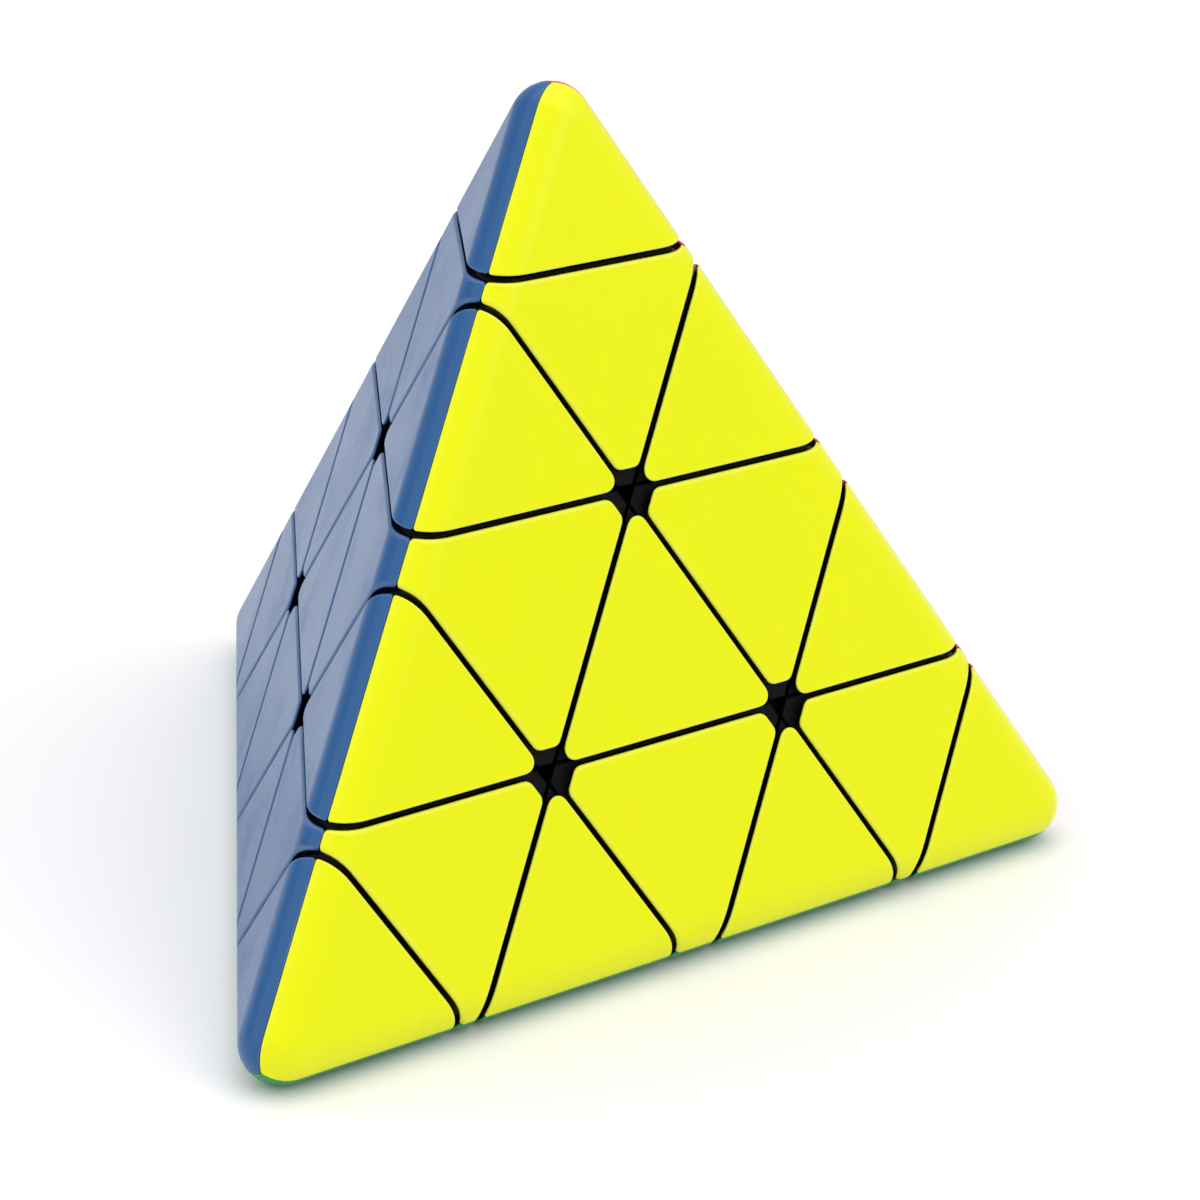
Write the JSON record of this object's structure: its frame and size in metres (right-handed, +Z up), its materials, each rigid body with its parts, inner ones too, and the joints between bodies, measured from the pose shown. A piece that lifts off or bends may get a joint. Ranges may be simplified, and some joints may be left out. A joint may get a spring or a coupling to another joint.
{
  "type": "pyramid twisty puzzle",
  "caption": "Four-layer pyramid twisty puzzle with coloured plastic tiles on black bases; tips and corner layers turn about the four vertex axes.",
  "frame": {"origin": "centre of the base face, on the surface the puzzle rests on", "axes": "+Z up through the top vertex, +X along the lower edge of the yellow face, +Y away from the yellow face to the back vertex"},
  "size_m": [0.0984, 0.0863, 0.0818],
  "materials": {
    "yellow_tile": "moulded yellow plastic, glossy",
    "blue_tile": "moulded blue plastic, glossy",
    "red_tile": "moulded red plastic, glossy",
    "green_tile": "moulded green plastic, glossy",
    "black_base": "moulded black plastic, satin",
    "screw_steel": "zinc plated steel",
    "spring_steel": "bright spring wire"
  },
  "bodies": {
    "core_body": {"core_spider": "black_base", "inner_hubs": "black_base", "arm_screws": "screw_steel", "screw_washers": "screw_steel", "screw_springs": "spring_steel", "face_centre_bases": "black_base", "mid_base_top_left": "black_base", "mid_base_top_right": "black_base", "mid_base_top_back": "black_base", "mid_base_left_right": "black_base", "mid_base_left_back": "black_base", "mid_base_right_back": "black_base", "fixed_tiles_yellow": "yellow_tile", "fixed_tiles_blue": "blue_tile", "fixed_tiles_red": "red_tile", "fixed_tiles_green": "green_tile"},
    "cap_top": {"axial_base_top": "black_base", "wing_base_top_left": "black_base", "wing_base_top_right": "black_base", "wing_base_top_back": "black_base", "cap_tiles_top_yellow": "yellow_tile", "cap_tiles_top_blue": "blue_tile", "cap_tiles_top_red": "red_tile"},
    "tip_top": {"tip_base_top": "black_base", "tip_tile_top_yellow": "yellow_tile", "tip_tile_top_blue": "blue_tile", "tip_tile_top_red": "red_tile"},
    "cap_left": {"axial_base_left": "black_base", "wing_base_left_top": "black_base", "wing_base_left_right": "black_base", "wing_base_left_back": "black_base", "cap_tiles_left_yellow": "yellow_tile", "cap_tiles_left_blue": "blue_tile", "cap_tiles_left_green": "green_tile"},
    "tip_left": {"tip_base_left": "black_base", "tip_tile_left_yellow": "yellow_tile", "tip_tile_left_blue": "blue_tile", "tip_tile_left_green": "green_tile"},
    "cap_right": {"axial_base_right": "black_base", "wing_base_right_top": "black_base", "wing_base_right_left": "black_base", "wing_base_right_back": "black_base", "cap_tiles_right_yellow": "yellow_tile", "cap_tiles_right_red": "red_tile", "cap_tiles_right_green": "green_tile"},
    "tip_right": {"tip_base_right": "black_base", "tip_tile_right_yellow": "yellow_tile", "tip_tile_right_red": "red_tile", "tip_tile_right_green": "green_tile"},
    "cap_back": {"axial_base_back": "black_base", "wing_base_back_top": "black_base", "wing_base_back_left": "black_base", "wing_base_back_right": "black_base", "cap_tiles_back_blue": "blue_tile", "cap_tiles_back_red": "red_tile", "cap_tiles_back_green": "green_tile"},
    "tip_back": {"tip_base_back": "black_base", "tip_tile_back_blue": "blue_tile", "tip_tile_back_red": "red_tile", "tip_tile_back_green": "green_tile"}
  },
  "joints": [
    {"name": "cap_turn_top", "type": "hinge", "parent": "core_body", "child": "cap_top", "pos_m": [0, 0, 0.02245], "axis": [0, 0, 1], "continuous": true},
    {"name": "cap_turn_left", "type": "hinge", "parent": "core_body", "child": "cap_left", "pos_m": [0, 0, 0.02245], "axis": [-0.8165, -0.4714, -0.3333], "continuous": true},
    {"name": "cap_turn_right", "type": "hinge", "parent": "core_body", "child": "cap_right", "pos_m": [0, 0, 0.02245], "axis": [0.8165, -0.4714, -0.3333], "continuous": true},
    {"name": "cap_turn_back", "type": "hinge", "parent": "core_body", "child": "cap_back", "pos_m": [0, 0, 0.02245], "axis": [0, 0.9428, -0.3333], "continuous": true},
    {"name": "tip_turn_top", "type": "hinge", "parent": "cap_top", "child": "tip_top", "pos_m": [0, 0, 0.02245], "axis": [0, 0, 1], "continuous": true},
    {"name": "tip_turn_left", "type": "hinge", "parent": "cap_left", "child": "tip_left", "pos_m": [0, 0, 0.02245], "axis": [-0.8165, -0.4714, -0.3333], "continuous": true},
    {"name": "tip_turn_right", "type": "hinge", "parent": "cap_right", "child": "tip_right", "pos_m": [0, 0, 0.02245], "axis": [0.8165, -0.4714, -0.3333], "continuous": true},
    {"name": "tip_turn_back", "type": "hinge", "parent": "cap_back", "child": "tip_back", "pos_m": [0, 0, 0.02245], "axis": [0, 0.9428, -0.3333], "continuous": true}
  ]
}
